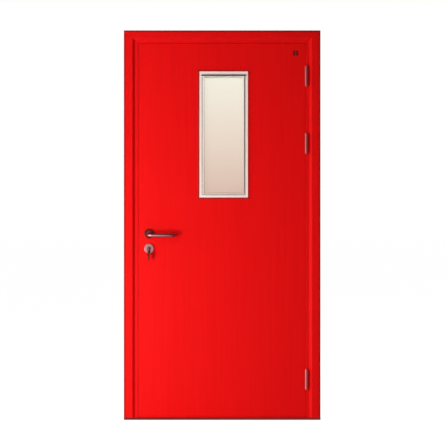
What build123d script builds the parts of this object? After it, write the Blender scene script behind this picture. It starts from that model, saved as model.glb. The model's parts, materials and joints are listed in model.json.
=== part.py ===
from build123d import *
import os

# Single-leaf steel fire door in its folded steel frame, in millimetres.
# Seen from the pull side, +X is to the right, +Y goes through the door and +Z is up.
# The origin lies on the floor, under the middle of the leaf's width and thickness.

# Frame, folded from sheet
frame_width = 1060.0
frame_height = 2100.0
frame_depth = 110.0
frame_sheet = 1.5
bend_radius = 2.0
face_flat = 46.0
splay_run = 13.5
splay_depth = 12.0
land_width = 16.0
stop_width = 16.0
wall_lip = 15.0
head_share = 0.874
sill_height = 12.5
sill_sheet = 2.0

# Leaf and the gaps round it
side_gap = 2.5
head_gap = 2.5
floor_gap = 2.0
leaf_thickness = 50.0
leaf_setback = 1.0
leaf_edge_round = 1.2
skin = 1.0
channel_sheet = 1.2
channel_flange = 30.0
flat_clearance = 0.3
running_clearance = 0.05
overrun = 5.0

# Seal on the stop
stop_gap = 5.0
seal_width = 12.0
seal_base = 1.6
seal_inset = 1.5

# Anchor sleeves between the stop and the wall
anchor_height_shares = (0.12, 0.40, 0.68, 0.93)
anchor_hole_radius = 5.5
anchor_sleeve_radius = 9.0

# Vision panel
vision_width = 266.0
vision_height = 685.0
vision_x = 8.0
vision_drop = 149.5
bead_sheet = 1.5
bead_overlap = 11.0
flange_round = 0.6
groove_depth = 4.0
groove_width = 8.0
lip_width = 6.0
lip_height = 6.0
lip_round = 2.5
liner_sheet = 1.2
glass_thickness = 16.0
glass_edge_gap = 2.0
gasket_thickness = 3.0
bead_screw_radius = 1.75
bead_screw_head = 3.2
bead_screw_length = 12.0
bead_screw_inset = 7.0
bead_screw_column_shares = (-0.42, -0.14, 0.14, 0.42)

# Lock
backset = 57.0
spindle_z = 1004.0
cylinder_drop = 80.0
forend_thickness = 3.0
forend_width = 22.0
forend_length = 240.0
forend_round = 4.0
forend_screw_inset = 9.0
case_depth = 88.0
case_height = 170.0
case_thickness = 15.0
case_sheet = 1.5
case_drop = 45.0
latch_rise = 21.0
latch_height = 20.0
latch_throw = 12.5
latch_head_length = 37.0
latch_tail_height = 6.0
latch_tail_thickness = 5.0
latch_bevel = 9.0
hook_width = 4.0
hook_drop = 8.0
bolt_rise = 29.0
bolt_height = 30.0
bolt_length = 37.5
bolt_tail_length = 40.0
bolt_tail_height = 16.0
bolt_tail_thickness = 4.0
bolt_play = 0.5
hub_radius = 11.0
journal_radius = 9.0
hub_arm_reach = 20.0
hub_arm_width = 6.0
arm_play = 0.5

# Strike in the lock jamb
strike_thickness = 1.5
strike_width = 26.0
strike_margin = 20.0
strike_round = 3.0
strike_slack = 1.5
strike_box_depth = 30.0
strike_box_sheet = 1.0
strike_box_flange = 6.0
strike_screw_inset = 7.0

# Levers, spindle and roses
lever_reach = 142.0
lever_bar_radius = 9.5
lever_stand = 50.0
lever_drop = 9.0
lever_bend = 17.0
lever_tip_gap = 14.0
lever_tip_round = 3.0
collar_radius = 11.5
collar_length = 19.0
spindle_side = 8.0
spindle_stand = 28.0
rose_radius = 26.5
rose_thickness = 8.0
rose_round = 3.0
rose_bolt_radius = 2.5
rose_bolt_spread = 19.0
rose_bolt_cover = 3.0
spindle_bore = 12.5

# Cylinder and keys
cylinder_rose_radius = 26.0
barrel_radius = 8.5
fin_width = 10.0
fin_drop = 24.5
cylinder_stand = 8.0
plug_radius = 6.5
plug_proud = 0.5
cam_width = 10.0
cam_reach = 14.0
cam_tongue = 8.0
cam_play = 0.2
cam_sweep_play = 0.8
cylinder_screw_drop = 20.0
keyway_width = 2.6
keyway_height = 9.0
keyway_depth = 27.0
key_thickness = 2.3
key_blade_height = 8.0
key_blade_length = 25.0
key_shoulder = 3.0
key_bow_radius = 12.0
key_cut_side = 4.0
key_cut_depth = 2.0
key_cut_shares = ((0.3, 0.5), (0.45, 0.9), (0.6, 0.4), (0.75, 0.7))
key_tip_bevel = 2.4
key_hole_radius = 4.0
key_hole_offset = 4.5
ring_radius = 11.0
ring_wire = 1.0
ring_seat_gap = 0.8
ring_turn = 50.0
spare_bow_radius = 11.0
spare_hole_radius = 3.5
spare_hole_offset = 6.0
spare_seat_gap = 0.3
spare_blade_length = 21.0

# Hinges
top_hinge_drop = 177.5
upper_hinge_spacing = 364.0
lower_hinge_rise = 203.5
hinge_length = 104.0
hinge_plate = 2.0
hinge_plate_width = 36.0
knuckle_radius = 8.0
knuckle_count = 5
knuckle_gap = 0.4
knuckle_stand = 1.0
pin_radius = 4.0
pin_head_radius = 6.0
pin_head_height = 4.0
pin_head_round = 1.8
backing_thickness = 3.0
backing_length = 140.0
backing_width = 40.0

# Countersunk machine screws
screw_radius = 2.5
screw_head_radius = 5.0
screw_length = 12.0
screw_row_shares = (-0.36, -0.12, 0.12, 0.36)
screw_column_shares = (0.3, 0.74)

# Small plate near the top hinge corner
tag_width = 27.0
tag_height = 27.0
tag_thickness = 1.0
tag_side = 55.0
tag_drop = 52.5
tag_round = 2.0
rivet_radius = 1.6
rivet_head_radius = 2.8
rivet_head_height = 1.2
rivet_length = 6.0
rivet_spread_share = 0.36

# Places worked out from the sizes above
half_width = frame_width / 2
jamb_face = face_flat + splay_run + land_width
head_face = jamb_face * head_share
leaf_front = -leaf_thickness / 2
leaf_back = leaf_thickness / 2
leaf_mid = (leaf_front + leaf_back) / 2
land_y = leaf_front - leaf_setback
front_y = land_y - splay_depth
back_y = front_y + frame_depth
opening_x = half_width - jamb_face
opening_z = frame_height - head_face
leaf_x = opening_x - side_gap
leaf_top = opening_z - head_gap
leaf_bottom = sill_height + floor_gap
stop_y = leaf_back + stop_gap
stop_x = opening_x - stop_width
spindle_x = -leaf_x + backset
cylinder_z = spindle_z - cylinder_drop
case_x = -leaf_x + forend_thickness
case_z = spindle_z - case_drop
latch_z = spindle_z + latch_rise
bolt_z = cylinder_z + bolt_rise
vision_z = leaf_top - vision_drop - vision_height / 2
tag_x = leaf_x - tag_side
tag_z = leaf_top - tag_drop
hinge_x = leaf_x + side_gap / 2
hinge_y = leaf_front - knuckle_stand - knuckle_radius
anchor_y = (stop_y + back_y) / 2

nodes = {}


def block(x_span, y_span, z_span):
    """Box between two opposite corners."""
    spans = (x_span, y_span, z_span)
    centre = [sum(span) / 2 for span in spans]
    sides = [span[1] - span[0] for span in spans]
    return Pos(*centre) * Box(*sides)


def rod_x(x_span, y, z, radius):
    """Round bar along X."""
    return Pos(sum(x_span) / 2, y, z) * Rot(0, 90, 0) * Cylinder(radius, x_span[1] - x_span[0])


def rod_y(x, y_span, z, radius):
    """Round bar along Y."""
    return Pos(x, sum(y_span) / 2, z) * Rot(90, 0, 0) * Cylinder(radius, y_span[1] - y_span[0])


def rod_z(x, y, z_span, radius):
    """Round bar along Z."""
    return Pos(x, y, sum(z_span) / 2) * Cylinder(radius, z_span[1] - z_span[0])


def around(middle, size):
    """Span of a size set evenly about its middle."""
    return (middle - size / 2, middle + size / 2)


def countersunk(head_radius, shank_radius, head_height, length):
    """Countersunk screw, its head's flat at the origin and its shank along -Z."""
    head = Pos(0, 0, -head_height / 2) * Cone(shank_radius, head_radius, head_height)
    shank = Pos(0, 0, -length / 2) * Cylinder(shank_radius, length)
    return head + shank


def to_back(shape):
    """The same piece on the other side of the leaf."""
    return mirror(shape, about=Plane(origin=(0, leaf_mid, 0), z_dir=(0, 1, 0)))


# Frame: one folded profile, measured inwards from the frame's outside, mitred at the top corners
def folded_profile(share):
    """Section of a frame member; share narrows its face for the head."""
    corners = [
        (0, front_y),
        (face_flat * share, front_y),
        ((face_flat + splay_run) * share, land_y),
        (jamb_face * share, land_y),
        (jamb_face * share, stop_y),
        ((jamb_face + stop_width) * share, stop_y),
        ((jamb_face + stop_width) * share, back_y),
        (0, back_y),
    ]
    outside = make_face(Polyline(*corners, close=True))
    outside = fillet(outside.vertices(), bend_radius)
    inside = offset(outside, amount=-frame_sheet)
    wall_side = Pos(0, (front_y + back_y) / 2) * Rectangle(2 * frame_sheet, frame_depth - 2 * wall_lip)
    return outside - inside - wall_side


def seal_profile(share):
    """Section of the seal on the stop: a flat base with a round bulb towards the leaf."""
    middle = (jamb_face + stop_width - seal_inset - seal_width / 2) * share
    bulb_height = stop_gap - flat_clearance
    base = Pos(middle, stop_y - seal_base / 2) * Rectangle(seal_width * share, seal_base)
    bulb = Pos(middle, stop_y - seal_base) * Ellipse(seal_width * share / 3, bulb_height - seal_base)
    keep = Pos(middle, stop_y - bulb_height / 2) * Rectangle(seal_width * share, bulb_height)
    return base + (bulb & keep)


mitre = Plane(origin=(-half_width, 0, frame_height), z_dir=(head_face, 0, jamb_face))
head_plane = Plane(origin=(-half_width, 0, frame_height), x_dir=(0, 0, -1), z_dir=(1, 0, 0))


def left_upright(profile):
    """Lock-side upright of a section, from the sill to the mitre."""
    run = Pos(-half_width, 0, sill_height) * extrude(profile, amount=frame_height - sill_height)
    return split(run, bisect_by=mitre, keep=Keep.BOTTOM)


def top_run(profile):
    """Top member of a section, mitred at both ends."""
    run = extrude(head_plane * profile, amount=frame_width)
    left_cut = split(run, bisect_by=mitre, keep=Keep.TOP)
    return mirror(split(mirror(left_cut, about=Plane.YZ), bisect_by=mitre, keep=Keep.TOP), about=Plane.YZ)


lock_jamb = left_upright(folded_profile(1))
hinge_jamb = mirror(lock_jamb, about=Plane.YZ)
nodes["frame_head"] = top_run(folded_profile(head_share))
nodes["seal_head"] = top_run(seal_profile(head_share))
nodes["seal_lock_jamb"] = left_upright(seal_profile(1))
nodes["seal_hinge_jamb"] = mirror(nodes["seal_lock_jamb"], about=Plane.YZ)

# Sill: a low folded channel, open below, under both jambs
sill_top = block(around(0, frame_width), (front_y, back_y), (0, sill_height))
long_edges = sill_top.edges().filter_by(Axis.X).group_by(Axis.Z)[-1]
sill_hollow = block(
    around(0, frame_width + overrun),
    (front_y + sill_sheet, back_y - sill_sheet),
    (-overrun, sill_height - sill_sheet),
)
nodes["threshold"] = fillet(long_edges, bend_radius) - sill_hollow

# Anchor sleeves: pipe spacers that carry the wall bolts through the hollow jambs
anchor_heights = [share * frame_height for share in anchor_height_shares]
sleeves = []
for height in anchor_heights:
    hole = rod_x((stop_x - overrun, half_width + overrun), anchor_y, height, anchor_hole_radius)
    sleeve = rod_x((stop_x + frame_sheet, half_width - frame_sheet), anchor_y, height, anchor_sleeve_radius) - hole
    hinge_jamb -= hole
    lock_jamb -= mirror(hole, about=Plane.YZ)
    sleeves += [sleeve, mirror(sleeve, about=Plane.YZ)]
nodes["anchor_sleeves"] = Compound(sleeves)


# Hinges: butt hinges let into the leaf's edge and the jamb, with a fixed pin
def hinge_half(z_mid, turn, plate_span):
    """Plate with its knuckles; turn 0 takes the end knuckles and turn 1 the ones between."""
    bore = pin_radius + running_clearance * turn
    pitch = (hinge_length + knuckle_gap) / knuckle_count
    plate_start = hinge_y + knuckle_radius + knuckle_gap
    half = block(plate_span, (plate_start, plate_start + hinge_plate_width), around(z_mid, hinge_length))
    for index in range(turn, knuckle_count, 2):
        low = z_mid - hinge_length / 2 + index * pitch
        z_span = (low, low + pitch - knuckle_gap)
        half += block(plate_span, (hinge_y, plate_start), z_span)
        half += rod_z(hinge_x, hinge_y, z_span, knuckle_radius)
    return half - rod_z(hinge_x, hinge_y, around(z_mid, hinge_length + overrun), bore)


def screw_places(z_mid):
    """Four staggered screw places of one hinge plate, as (y, z)."""
    plate_start = hinge_y + knuckle_radius + knuckle_gap
    for index, row_share in enumerate(screw_row_shares):
        column_share = screw_column_shares[index % 2]
        yield plate_start + column_share * hinge_plate_width, z_mid + row_share * hinge_length


hinge_screw = countersunk(screw_head_radius, screw_radius, hinge_plate, screw_length)
leaf_plate_span = (leaf_x - skin, leaf_x - skin + hinge_plate)
frame_plate_span = (opening_x + frame_sheet - hinge_plate, opening_x + frame_sheet)
notch_end = hinge_y + knuckle_radius + knuckle_gap + hinge_plate_width + flat_clearance
notch_y = (land_y - overrun, notch_end)
backing_y = (leaf_mid - backing_width / 2, leaf_mid + backing_width / 2)
top_hinge_z = leaf_top - top_hinge_drop
hinge_heights = {
    "top": top_hinge_z,
    "upper": top_hinge_z - upper_hinge_spacing,
    "lower": leaf_bottom + lower_hinge_rise,
}
frame_screws = []
leaf_screws = []
frame_backings = []
leaf_backings = []
leaf_notches = []
for name, z_mid in hinge_heights.items():
    frame_plate = hinge_half(z_mid, 0, frame_plate_span)
    leaf_plate = hinge_half(z_mid, 1, leaf_plate_span)
    notch_z = around(z_mid, hinge_length + 2 * flat_clearance)
    hinge_jamb -= block((opening_x - overrun, opening_x + frame_sheet), notch_y, notch_z)
    leaf_notches.append(block((leaf_x - skin, leaf_x + overrun), notch_y, notch_z))
    backing_z = around(z_mid, backing_length)
    frame_backing = block(
        (opening_x + frame_sheet, opening_x + frame_sheet + backing_thickness), backing_y, backing_z
    )
    leaf_inside = leaf_x - skin - channel_sheet
    leaf_backing = block((leaf_inside - backing_thickness, leaf_inside), backing_y, backing_z)
    for y, z in screw_places(z_mid):
        to_jamb = Pos(frame_plate_span[0], y, z) * Rot(0, -90, 0) * hinge_screw
        to_leaf = Pos(leaf_plate_span[1], y, z) * Rot(0, 90, 0) * hinge_screw
        frame_plate -= to_jamb
        frame_backing -= to_jamb
        leaf_plate -= to_leaf
        leaf_backing -= to_leaf
        frame_screws.append(to_jamb)
        leaf_screws.append(to_leaf)
    pin = rod_z(hinge_x, hinge_y, around(z_mid, hinge_length), pin_radius)
    for end in (-1, 1):
        head_z = z_mid + end * (hinge_length + pin_head_height) / 2
        head = rod_z(hinge_x, hinge_y, around(head_z, pin_head_height), pin_head_radius)
        rim = head.edges().filter_by(GeomType.CIRCLE).sort_by(Axis.Z)[-1 if end > 0 else 0]
        pin += fillet(rim, pin_head_round)
    frame_backings.append(frame_backing)
    leaf_backings.append(leaf_backing)
    nodes[f"{name}_hinge_frame_plate"] = frame_plate
    nodes[f"{name}_hinge_leaf_plate"] = leaf_plate
    nodes[f"{name}_hinge_pin"] = pin
nodes["hinge_frame_screws"] = Compound(frame_screws)
nodes["hinge_leaf_screws"] = Compound(leaf_screws)
nodes["frame_hinge_backings"] = Compound(frame_backings)
nodes["leaf_hinge_backings"] = Compound(leaf_backings)
nodes["frame_hinge_jamb"] = hinge_jamb

# Lock case: a sheet box in the leaf's edge, behind the forend
case_span_x = (case_x, case_x + case_depth)
case_span_y = around(leaf_mid, case_thickness)
case_span_z = around(case_z, case_height)
case_outside = block(case_span_x, case_span_y, case_span_z)
case_inside = block(
    (case_span_x[0] + case_sheet, case_span_x[1] - case_sheet),
    (case_span_y[0] + case_sheet, case_span_y[1] - case_sheet),
    (case_span_z[0] + case_sheet, case_span_z[1] - case_sheet),
)
slide_thickness = case_thickness - 2 * case_sheet - 2 * flat_clearance
slide_y = around(leaf_mid, slide_thickness)
forend = block((-leaf_x, case_x), around(leaf_mid, forend_width), around(case_z, forend_length))
forend = fillet(forend.edges().filter_by(Axis.X), forend_round)

# Latch bolt: bevelled head, and a tail whose hook the follower's arm pushes
latch_tip = -leaf_x - latch_throw
latch_head_x = (latch_tip, latch_tip + latch_head_length)
latch_outline = Polyline(
    (latch_head_x[1], slide_y[0]),
    (latch_tip, slide_y[0]),
    (latch_tip, slide_y[1] - latch_bevel),
    (-leaf_x - flat_clearance, slide_y[1]),
    (latch_head_x[1], slide_y[1]),
    close=True,
)
latch_low = Plane.XY.offset(latch_z - latch_height / 2)
latch = extrude(latch_low * make_face(latch_outline), amount=latch_height)
hook_x = spindle_x + hub_arm_width / 2 + arm_play
tail_top = latch_z + latch_height / 2
tail_y = around(leaf_mid, latch_tail_thickness)
tail_z = (tail_top - latch_tail_height, tail_top)
latch += block((latch_head_x[1], hook_x + hook_width), tail_y, tail_z)
latch += block((hook_x, hook_x + hook_width), tail_y, (tail_z[0] - hook_drop, tail_z[0]))
nodes["latch_bolt"] = latch

# Dead bolt: a plain block flush with the forend, with its tail above the cam
bolt_x = (-leaf_x + bolt_play, -leaf_x + bolt_play + bolt_length)
dead_bolt = block(bolt_x, slide_y, around(bolt_z, bolt_height))
dead_bolt += block(
    (bolt_x[1], bolt_x[1] + bolt_tail_length),
    around(leaf_mid, bolt_tail_thickness),
    around(bolt_z, bolt_tail_height),
)
nodes["dead_bolt"] = dead_bolt


def bolt_way(x_span, slack):
    """Clear ways of both bolts, wider than them by a slack all round."""
    y_span = around(leaf_mid, slide_thickness + 2 * slack)
    latch_way = block(x_span, y_span, around(latch_z, latch_height + 2 * slack))
    return latch_way + block(x_span, y_span, around(bolt_z, bolt_height + 2 * slack))


lock_way = bolt_way((-leaf_x - overrun, case_x + case_sheet), flat_clearance)

# Strike: plate let into the lock jamb, on the flange of a dust box, open for both bolts
strike_low = bolt_z - bolt_height / 2 - strike_margin
strike_high = latch_z + latch_height / 2 + strike_margin
strike_back = -opening_x - frame_sheet
strike_x = (strike_back, strike_back + strike_thickness)


def strike_block(margin, x_span):
    """Block of the strike's outline with rounded corners, wider than it by a margin all round."""
    outline = block(
        x_span, around(leaf_mid, strike_width + 2 * margin), (strike_low - margin, strike_high + margin)
    )
    return fillet(outline.edges().filter_by(Axis.X), strike_round + margin)


strike = strike_block(0, strike_x)
lock_jamb -= strike_block(flat_clearance, (strike_back, strike_x[1] + overrun))
box_depth_x = (strike_back - strike_box_depth, strike_back)
box_z = (strike_low + strike_margin / 2, strike_high - strike_margin / 2)
strike_box = block(box_depth_x, around(leaf_mid, strike_width), box_z)
strike_box += strike_block(strike_box_flange, (strike_back - strike_box_sheet, strike_back))
strike_box -= block(
    (box_depth_x[0] + strike_box_sheet, box_depth_x[1] + overrun),
    around(leaf_mid, strike_width - 2 * strike_box_sheet),
    (box_z[0] + strike_box_sheet, box_z[1] - strike_box_sheet),
)
strike -= bolt_way((strike_back - overrun, strike_x[1] + overrun), strike_slack)
strike_screw = countersunk(screw_head_radius, screw_radius, strike_thickness, screw_length)
strike_screws = []
for z in (strike_low + strike_screw_inset, strike_high - strike_screw_inset):
    fixing = Pos(strike_x[1], leaf_mid, z) * Rot(0, 90, 0) * strike_screw
    strike -= fixing
    strike_box -= fixing
    strike_screws.append(fixing)
nodes["strike_plate"] = strike
nodes["strike_box"] = strike_box
nodes["strike_screws"] = Compound(strike_screws)
nodes["frame_lock_jamb"] = lock_jamb

# Follower: the hub that the spindle turns, with the arm that draws the latch back
hub_y = around(leaf_mid, slide_thickness)
spindle_hole = block(
    around(spindle_x, spindle_side),
    (leaf_front - lever_stand, leaf_back + lever_stand),
    around(spindle_z, spindle_side),
)
follower = rod_y(spindle_x, hub_y, spindle_z, hub_radius)
follower += rod_y(spindle_x, case_span_y, spindle_z, journal_radius)
follower += block(around(spindle_x, hub_arm_width), hub_y, (spindle_z, spindle_z + hub_arm_reach))
nodes["follower"] = follower - spindle_hole

# Square spindle through the leaf, from lever to lever
spindle_y = (leaf_front - spindle_stand, leaf_back + spindle_stand)
nodes["spindle"] = block(
    around(spindle_x, spindle_side), spindle_y, around(spindle_z, spindle_side)
)

# Levers: a round bar from the rose, along the door and back to it at the tip
rose_face = leaf_front - rose_thickness
bar_y = leaf_front - lever_stand
bar_z = spindle_z - lever_drop
tip_x = spindle_x + lever_reach - lever_bar_radius
lever_path = FilletPolyline(
    (spindle_x, rose_face, spindle_z),
    (spindle_x, bar_y, bar_z),
    (tip_x, bar_y, bar_z),
    (tip_x, leaf_front - lever_tip_gap, bar_z),
    radius=lever_bend,
)
lever_section = Plane(origin=lever_path @ 0, z_dir=lever_path % 0) * Circle(lever_bar_radius)
lever = sweep(lever_section, path=lever_path)
tip_rim = lever.edges().filter_by(GeomType.CIRCLE).group_by(Axis.X)[-1].sort_by(Axis.Y)[-1]
lever = fillet(tip_rim, lever_tip_round)
collar_y = (leaf_front - collar_length, leaf_front - leaf_setback)
lever += rod_y(spindle_x, collar_y, spindle_z, collar_radius)
spindle_socket = block(
    around(spindle_x, spindle_side),
    (spindle_y[0], leaf_front),
    around(spindle_z, spindle_side),
)
nodes["lever_front"] = lever - spindle_socket
nodes["lever_back"] = to_back(nodes["lever_front"])

# Roses of the levers, pulled together by two bolts through the leaf and the lock case
rose_bolts = []
for side in (-1, 1):
    bolt_place = spindle_x + side * rose_bolt_spread
    bolt_span = (rose_face + rose_bolt_cover, leaf_back + rose_thickness - rose_bolt_cover)
    rose_bolts.append(rod_y(bolt_place, bolt_span, spindle_z, rose_bolt_radius))
rose = rod_y(spindle_x, (rose_face, leaf_front), spindle_z, rose_radius)
rose = fillet(rose.edges().filter_by(GeomType.CIRCLE).sort_by(Axis.Y)[0], rose_round)
lever_hole = collar_radius + running_clearance
rose -= rod_y(spindle_x, (rose_face - overrun, leaf_front + overrun), spindle_z, lever_hole)
for bolt in rose_bolts:
    rose -= bolt
nodes["lever_rose_front"] = rose
nodes["lever_rose_back"] = to_back(rose)
nodes["rose_bolts"] = Compound(rose_bolts)

# Lock cylinder: round barrel over a flat fin, cut away in the middle for the cam
cylinder_y = (leaf_front - cylinder_stand, leaf_back + cylinder_stand)
fin_end_z = cylinder_z - fin_drop + fin_width / 2
cylinder = rod_y(spindle_x, cylinder_y, cylinder_z, barrel_radius)
cylinder += block(around(spindle_x, fin_width), cylinder_y, (fin_end_z, cylinder_z))
cylinder += rod_y(spindle_x, cylinder_y, fin_end_z, fin_width / 2)
cylinder_hole = cylinder
cam_y = around(leaf_mid, cam_width)
cylinder -= rod_y(spindle_x, cam_y, cylinder_z, cam_reach + cam_sweep_play)
cylinder -= rod_y(spindle_x, cylinder_y, cylinder_z, plug_radius + running_clearance)
cylinder_screw_z = cylinder_z - cylinder_screw_drop
cylinder_screw = Pos(-leaf_x, leaf_mid, cylinder_screw_z) * Rot(0, -90, 0) * countersunk(
    screw_head_radius, screw_radius, forend_thickness, backset
)
nodes["cylinder_body"] = cylinder - cylinder_screw
nodes["cylinder_screw"] = cylinder_screw

# Plug that the key turns, with the cam in the middle of the lock
plug_y = (cylinder_y[0] - plug_proud, cam_y[1] - cam_play)
cam_span = (cam_y[0] + cam_play, cam_y[1] - cam_play)
plug = rod_y(spindle_x, plug_y, cylinder_z, plug_radius)
plug += rod_y(spindle_x, cam_span, cylinder_z, barrel_radius)
cam_x = (spindle_x, spindle_x + cam_reach)
plug += block(cam_x, cam_span, around(cylinder_z, cam_tongue))
keyway_y = (plug_y[0] - overrun, plug_y[0] + keyway_depth)
nodes["cylinder_plug"] = plug - block(
    around(spindle_x, keyway_width), keyway_y, around(cylinder_z, keyway_height)
)
rear_plug_y = (cam_y[1], cylinder_y[1] + plug_proud)
rear_keyway = (rear_plug_y[1] - keyway_depth, rear_plug_y[1] + overrun)
rear_plug = rod_y(spindle_x, rear_plug_y, cylinder_z, plug_radius + running_clearance)
nodes["rear_plug"] = rear_plug - block(
    around(spindle_x, keyway_width), rear_keyway, around(cylinder_z, keyway_height)
)

# Roses round the cylinder
cylinder_rose = rod_y(spindle_x, (leaf_front - cylinder_stand, leaf_front), cylinder_z, cylinder_rose_radius)
rose_rim = cylinder_rose.edges().filter_by(GeomType.CIRCLE).sort_by(Axis.Y)[0]
cylinder_rose = fillet(rose_rim, rose_round) - cylinder_hole
nodes["cylinder_rose_front"] = cylinder_rose
nodes["cylinder_rose_back"] = to_back(cylinder_rose)

# Key in the plug: round bow with a hole, and a flat blade with cuts along one edge and a bevelled tip
def flat_key(bow_radius, shank, blade_length, hole_offset, hole_radius):
    """Key in the YZ plane, its blade along -Z from the middle of its bow, which is the origin."""
    x_span = around(0, key_thickness)
    blade_top = -bow_radius - shank
    tip = blade_top - blade_length
    blade = block(x_span, around(0, key_blade_height), (tip, 0))
    blade = chamfer(blade.edges().filter_by(Axis.X).group_by(Axis.Z)[0], key_tip_bevel)
    cut_reach = key_cut_side * 2**0.5 / 2
    for place_share, depth_share in key_cut_shares:
        cut_y = key_blade_height / 2 + cut_reach - depth_share * key_cut_depth
        cut_z = blade_top - place_share * blade_length
        blade -= Pos(0, cut_y, cut_z) * Rot(45, 0, 0) * Box(key_thickness, key_cut_side, key_cut_side)
    hole = rod_x(around(0, key_thickness + overrun), 0, hole_offset, hole_radius)
    return blade + rod_x(x_span, 0, 0, bow_radius) - hole


bow_y = plug_y[0] - key_shoulder - key_bow_radius
hole_y = bow_y - key_hole_offset
key = flat_key(key_bow_radius, key_shoulder, key_blade_length, key_hole_offset, key_hole_radius)
nodes["key"] = Pos(spindle_x, bow_y, cylinder_z) * Rot(90, 0, 0) * key

# Ring through the bow, and a second key hanging from the ring
ring_top = cylinder_z - key_hole_radius + ring_wire + ring_seat_gap
ring_place = Pos(spindle_x, hole_y, ring_top - ring_radius) * Rot(0, 0, ring_turn)
nodes["key_ring"] = ring_place * Rot(90, 0, 0) * Torus(ring_radius, ring_wire)
spare_hole_z = -ring_radius + ring_wire + spare_seat_gap - spare_hole_radius
spare = flat_key(spare_bow_radius, 0, spare_blade_length, spare_hole_offset, spare_hole_radius)
nodes["spare_key"] = ring_place * Pos(0, 0, spare_hole_z - spare_hole_offset) * spare

# Forend, its screws, and the openings of the lock case
forend_screw = countersunk(screw_head_radius, screw_radius, forend_thickness, screw_length)
forend_screws = []
for end in (-1, 1):
    screw_z = case_z + end * (forend_length / 2 - forend_screw_inset)
    forend_screws.append(Pos(-leaf_x, leaf_mid, screw_z) * Rot(0, -90, 0) * forend_screw)
nodes["forend_screws"] = Compound(forend_screws)
forend_plate = forend - lock_way - cylinder_screw
for fixing in forend_screws:
    forend_plate -= fixing
nodes["forend"] = forend_plate
through_y = (leaf_front - overrun, leaf_back + overrun)
lock_case = case_outside - case_inside - lock_way - cylinder_hole - cylinder_screw
lock_case -= rod_y(spindle_x, through_y, spindle_z, journal_radius + running_clearance)
for bolt in rose_bolts:
    lock_case -= bolt
nodes["lock_case"] = lock_case


# Vision panel: rings measured inwards from the bead's outside edge
def vision_ring(outer, inner, y_span):
    """Rectangular ring between two distances from the bead's outside edge."""
    solids = []
    for inset, extra in ((outer, 0), (inner, overrun)):
        solids.append(
            block(
                around(vision_x, vision_width - 2 * inset),
                (y_span[0] - extra, y_span[1] + extra),
                around(vision_z, vision_height - 2 * inset),
            )
        )
    return solids[0] - solids[1]


def vision_block(inset, y_span):
    """Rectangular block of the vision opening at a distance from the bead's outside edge."""
    width = vision_width - 2 * inset
    return block(around(vision_x, width), y_span, around(vision_z, vision_height - 2 * inset))


wall_start = bead_overlap + liner_sheet + flat_clearance
wall_end = wall_start + bead_sheet
lip_start = wall_end + groove_width
lip_end = lip_start + lip_width
glass_inset = bead_overlap + liner_sheet + glass_edge_gap
glass_y = around(leaf_mid, glass_thickness)
gasket_y = (glass_y[0] - gasket_thickness, glass_y[0])
nodes["glass_pane"] = vision_block(glass_inset, glass_y)
nodes["vision_liner"] = vision_ring(bead_overlap, bead_overlap + liner_sheet, (leaf_front, leaf_back))
nodes["front_gasket"] = vision_ring(glass_inset, lip_end, gasket_y)
nodes["back_gasket"] = to_back(nodes["front_gasket"])

# Bead: one pressed section with a flat flange, a sunk groove, a raised round lip and a leg down to the gasket
lip_top = leaf_front - lip_height
groove_floor = leaf_front + groove_depth
bead = vision_ring(lip_start, lip_end, (lip_top, groove_floor))
bead = fillet(bead.edges().group_by(Axis.Y)[0], lip_round)
bead -= vision_ring(lip_start + bead_sheet, lip_end - bead_sheet, (lip_top + bead_sheet, groove_floor))
flange = vision_ring(0, wall_end, (leaf_front - bead_sheet, leaf_front))
bead += fillet(flange.edges().group_by(Axis.Y)[0], flange_round)
bead += vision_ring(wall_start, wall_end, (leaf_front, groove_floor + bead_sheet))
bead += vision_ring(wall_start, lip_start + bead_sheet, (groove_floor, groove_floor + bead_sheet))
bead += vision_ring(lip_end - bead_sheet, lip_end, (groove_floor, gasket_y[0]))
back_bead = to_back(bead)
bead_screw = countersunk(bead_screw_head, bead_screw_radius, bead_sheet, bead_screw_length)
bead_screws = []
for share in bead_screw_column_shares:
    for side in (-1, 1):
        x = vision_x + side * (vision_width / 2 - bead_screw_inset)
        place = Pos(x, leaf_back + bead_sheet, vision_z + share * vision_height)
        bead_screws.append(place * Rot(-90, 0, 0) * bead_screw)
for fixing in bead_screws:
    back_bead -= fixing
nodes["front_bead"] = bead
nodes["back_bead"] = back_bead
nodes["bead_screws"] = Compound(bead_screws)

# Small bare plate with two rivets
tag = block(around(tag_x, tag_width), (leaf_front - tag_thickness, leaf_front), around(tag_z, tag_height))
tag = fillet(tag.edges().filter_by(Axis.Y), tag_round)
rivets = []
for side in (-1, 1):
    rivet_z = tag_z + side * rivet_spread_share * tag_height
    shank_y = (leaf_front - tag_thickness, leaf_front - tag_thickness + rivet_length)
    head_y = (shank_y[0] - rivet_head_height, shank_y[0])
    shank = rod_y(tag_x, shank_y, rivet_z, rivet_radius)
    tag -= shank
    head = rod_y(tag_x, head_y, rivet_z, rivet_head_radius)
    head_rim = head.edges().filter_by(GeomType.CIRCLE).sort_by(Axis.Y)[0]
    rivets.append(shank + fillet(head_rim, rivet_head_height / 2))
nodes["tag_plate"] = tag
nodes["tag_rivets"] = Compound(rivets)

# Leaf: a front sheet folded round all four edges, a back sheet let into it, an edge channel and the core
leaf_span_y = (leaf_front, leaf_back)


def leaf_block(inset, y_span):
    """Block of the leaf's outline at a distance inside its edges."""
    return block((-leaf_x + inset, leaf_x - inset), y_span, (leaf_bottom + inset, leaf_top - inset))


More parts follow.
